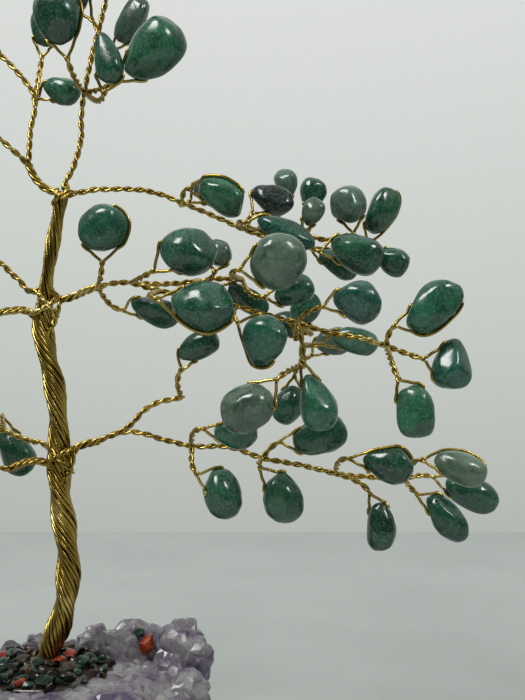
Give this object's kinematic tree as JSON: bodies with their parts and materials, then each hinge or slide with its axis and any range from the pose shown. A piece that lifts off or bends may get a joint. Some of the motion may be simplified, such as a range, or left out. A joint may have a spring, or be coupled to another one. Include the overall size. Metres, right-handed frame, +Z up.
{
  "type": "gemstone tree ornament",
  "caption": "Small ornamental tree of twisted brass wire whose twigs end in drilled green stones, standing in an amethyst cluster with glued chips.",
  "frame": {"origin": "on the flat underside of the amethyst cluster, straight below the foot of the trunk", "axes": "+X to the right of the picture, +Y away from the viewer, +Z up along the trunk"},
  "size_m": [0.2565, 0.0777, 0.2761],
  "materials": {
    "aventurine": "polished",
    "brass_wire": "polished",
    "amethyst": "polished",
    "clear_glue": "glossy",
    "red_jasper": "polished",
    "green_chip": "polished",
    "dark_agate": "polished",
    "tiger_eye": "polished",
    "rock_crystal": "polished"
  },
  "bodies": {
    "stand": {"amethyst_cluster": "amethyst", "glue_mound": "clear_glue", "chips_red": "red_jasper", "chips_green": "green_chip", "chips_dark": "dark_agate", "chips_brown": "tiger_eye", "chips_clear": "rock_crystal", "trunk_lower": "brass_wire", "trunk_middle": "brass_wire", "trunk_upper": "brass_wire"},
    "low_right": {"low_right_branch": "brass_wire", "low_right_twigs": "brass_wire", "low_right_stones": "aventurine"},
    "low_right_drop_a": {"low_right_drop_a": "aventurine"},
    "low_right_drop_b": {"low_right_drop_b": "aventurine"},
    "low_right_drop_c": {"low_right_drop_c": "aventurine"},
    "low_right_drop_d": {"low_right_drop_d": "aventurine"},
    "mid_right": {"mid_right_branch": "brass_wire", "mid_right_twigs": "brass_wire", "mid_right_stones": "aventurine"},
    "mid_right_drop_a": {"mid_right_drop_a": "aventurine"},
    "mid_right_drop_b": {"mid_right_drop_b": "aventurine"},
    "top_right": {"top_right_branch": "brass_wire", "top_right_twigs": "brass_wire", "top_right_stones": "aventurine"},
    "top_leader": {"top_leader_branch": "brass_wire", "top_leader_twigs": "brass_wire", "top_leader_stones": "aventurine"},
    "top_left": {"top_left_branch": "brass_wire", "top_left_twigs": "brass_wire", "top_left_stones": "aventurine"},
    "top_left_drop": {"top_left_drop": "aventurine"},
    "mid_left_high": {"mid_left_high_branch": "brass_wire", "mid_left_high_twigs": "brass_wire", "mid_left_high_stones": "aventurine"},
    "mid_left_drop_a": {"mid_left_drop_a": "aventurine"},
    "mid_left_low": {"mid_left_low_branch": "brass_wire", "mid_left_low_twigs": "brass_wire", "mid_left_low_stones": "aventurine"},
    "mid_left_drop_b": {"mid_left_drop_b": "aventurine"},
    "low_left_front": {"low_left_front_branch": "brass_wire", "low_left_front_twigs": "brass_wire", "low_left_front_stones": "aventurine"},
    "low_left_drop_a": {"low_left_drop_a": "aventurine"},
    "low_left_drop_b": {"low_left_drop_b": "aventurine"},
    "low_left_back": {"low_left_back_branch": "brass_wire", "low_left_back_twigs": "brass_wire", "low_left_back_stones": "aventurine"},
    "low_left_drop_c": {"low_left_drop_c": "aventurine"}
  },
  "joints": [
    {"name": "low_right_bend", "type": "hinge", "parent": "stand", "child": "low_right", "pos_m": [0.01001, 0, 0.09827], "axis": [0, -1, 0], "range_deg": [-12, 8]},
    {"name": "low_right_drop_a_swing", "type": "hinge", "parent": "low_right", "child": "low_right_drop_a", "pos_m": [0.0519, -0.00686, 0.08758], "axis": [-0.5833, -0.2185, -0.7823], "range_deg": [-20, 20]},
    {"name": "low_right_drop_b_swing", "type": "hinge", "parent": "low_right", "child": "low_right_drop_b", "pos_m": [0.07044, -0.00655, 0.08789], "axis": [-0.7475, -0.2763, -0.6041], "range_deg": [-20, 20]},
    {"name": "low_right_drop_c_swing", "type": "hinge", "parent": "low_right", "child": "low_right_drop_c", "pos_m": [0.10204, -0.00354, 0.07887], "axis": [-0.8841, 0.3526, -0.3067], "range_deg": [-20, 20]},
    {"name": "low_right_drop_d_swing", "type": "hinge", "parent": "low_right", "child": "low_right_drop_d", "pos_m": [0.11903, -0.00799, 0.08097], "axis": [-0.6293, 0.0064, -0.7771], "range_deg": [-20, 20]},
    {"name": "mid_right_bend", "type": "hinge", "parent": "stand", "child": "mid_right", "pos_m": [0.00448, 0, 0.14439], "axis": [0, -1, 0], "range_deg": [-8, 8]},
    {"name": "mid_right_drop_a_swing", "type": "hinge", "parent": "mid_right", "child": "mid_right_drop_a", "pos_m": [0.10808, -0.03002, 0.11513], "axis": [-0.8987, -0.0125, -0.4384], "range_deg": [-20, 20]},
    {"name": "mid_right_drop_b_swing", "type": "hinge", "parent": "mid_right", "child": "mid_right_drop_b", "pos_m": [0.08127, -0.018, 0.11845], "axis": [-0.9005, -0.2857, -0.3278], "range_deg": [-20, 20]},
    {"name": "top_right_bend", "type": "hinge", "parent": "stand", "child": "top_right", "pos_m": [0.00973, 0, 0.17705], "axis": [0, -1, 0], "range_deg": [-8, 12]},
    {"name": "top_leader_bend", "type": "hinge", "parent": "stand", "child": "top_leader", "pos_m": [0.00618, 0, 0.17936], "axis": [1, 0, 0], "range_deg": [-10, 10]},
    {"name": "top_left_bend", "type": "hinge", "parent": "stand", "child": "top_left", "pos_m": [0.00139, 0, 0.17788], "axis": [0, 1, 0], "range_deg": [-8, 12]},
    {"name": "top_left_drop_swing", "type": "hinge", "parent": "top_left", "child": "top_left_drop", "pos_m": [-0.02703, -0.01283, 0.1919], "axis": [-0.9148, 0.1615, 0.3701], "range_deg": [-20, 20]},
    {"name": "mid_left_high_bend", "type": "hinge", "parent": "stand", "child": "mid_left_high", "pos_m": [-0.00388, 0.0008, 0.14651], "axis": [0, 1, 0], "range_deg": [-8, 8]},
    {"name": "mid_left_drop_a_swing", "type": "hinge", "parent": "mid_left_high", "child": "mid_left_drop_a", "pos_m": [-0.03792, 0.0022, 0.15588], "axis": [-0.8418, -0.2911, 0.4545], "range_deg": [-20, 20]},
    {"name": "mid_left_low_bend", "type": "hinge", "parent": "stand", "child": "mid_left_low", "pos_m": [-0.00538, -0.0008, 0.14057], "axis": [0, 1, 0], "range_deg": [-8, 8]},
    {"name": "mid_left_drop_b_swing", "type": "hinge", "parent": "mid_left_low", "child": "mid_left_drop_b", "pos_m": [-0.03385, -0.02003, 0.12609], "axis": [-0.9642, 0.1674, 0.2055], "range_deg": [-20, 20]},
    {"name": "low_left_front_bend", "type": "hinge", "parent": "stand", "child": "low_left_front", "pos_m": [0.00052, -0.00376, 0.09434], "axis": [0, 1, 0], "range_deg": [-12, 8]},
    {"name": "low_left_drop_a_swing", "type": "hinge", "parent": "low_left_front", "child": "low_left_drop_a", "pos_m": [-0.02423, -0.012, 0.0854], "axis": [-0.9903, 0, 0.1392], "range_deg": [-20, 20]},
    {"name": "low_left_drop_b_swing", "type": "hinge", "parent": "low_left_front", "child": "low_left_drop_b", "pos_m": [-0.04011, -0.00597, 0.08167], "axis": [-0.9505, -0.2939, 0.1007], "range_deg": [-20, 20]},
    {"name": "low_left_back_bend", "type": "hinge", "parent": "stand", "child": "low_left_back", "pos_m": [0.00027, 0.00356, 0.09826], "axis": [0, 1, 0], "range_deg": [-12, 8]},
    {"name": "low_left_drop_c_swing", "type": "hinge", "parent": "low_left_back", "child": "low_left_drop_c", "pos_m": [-0.0623, 0.02, 0.09919], "axis": [-0.9773, 0.1616, 0.1373], "range_deg": [-20, 20]}
  ]
}
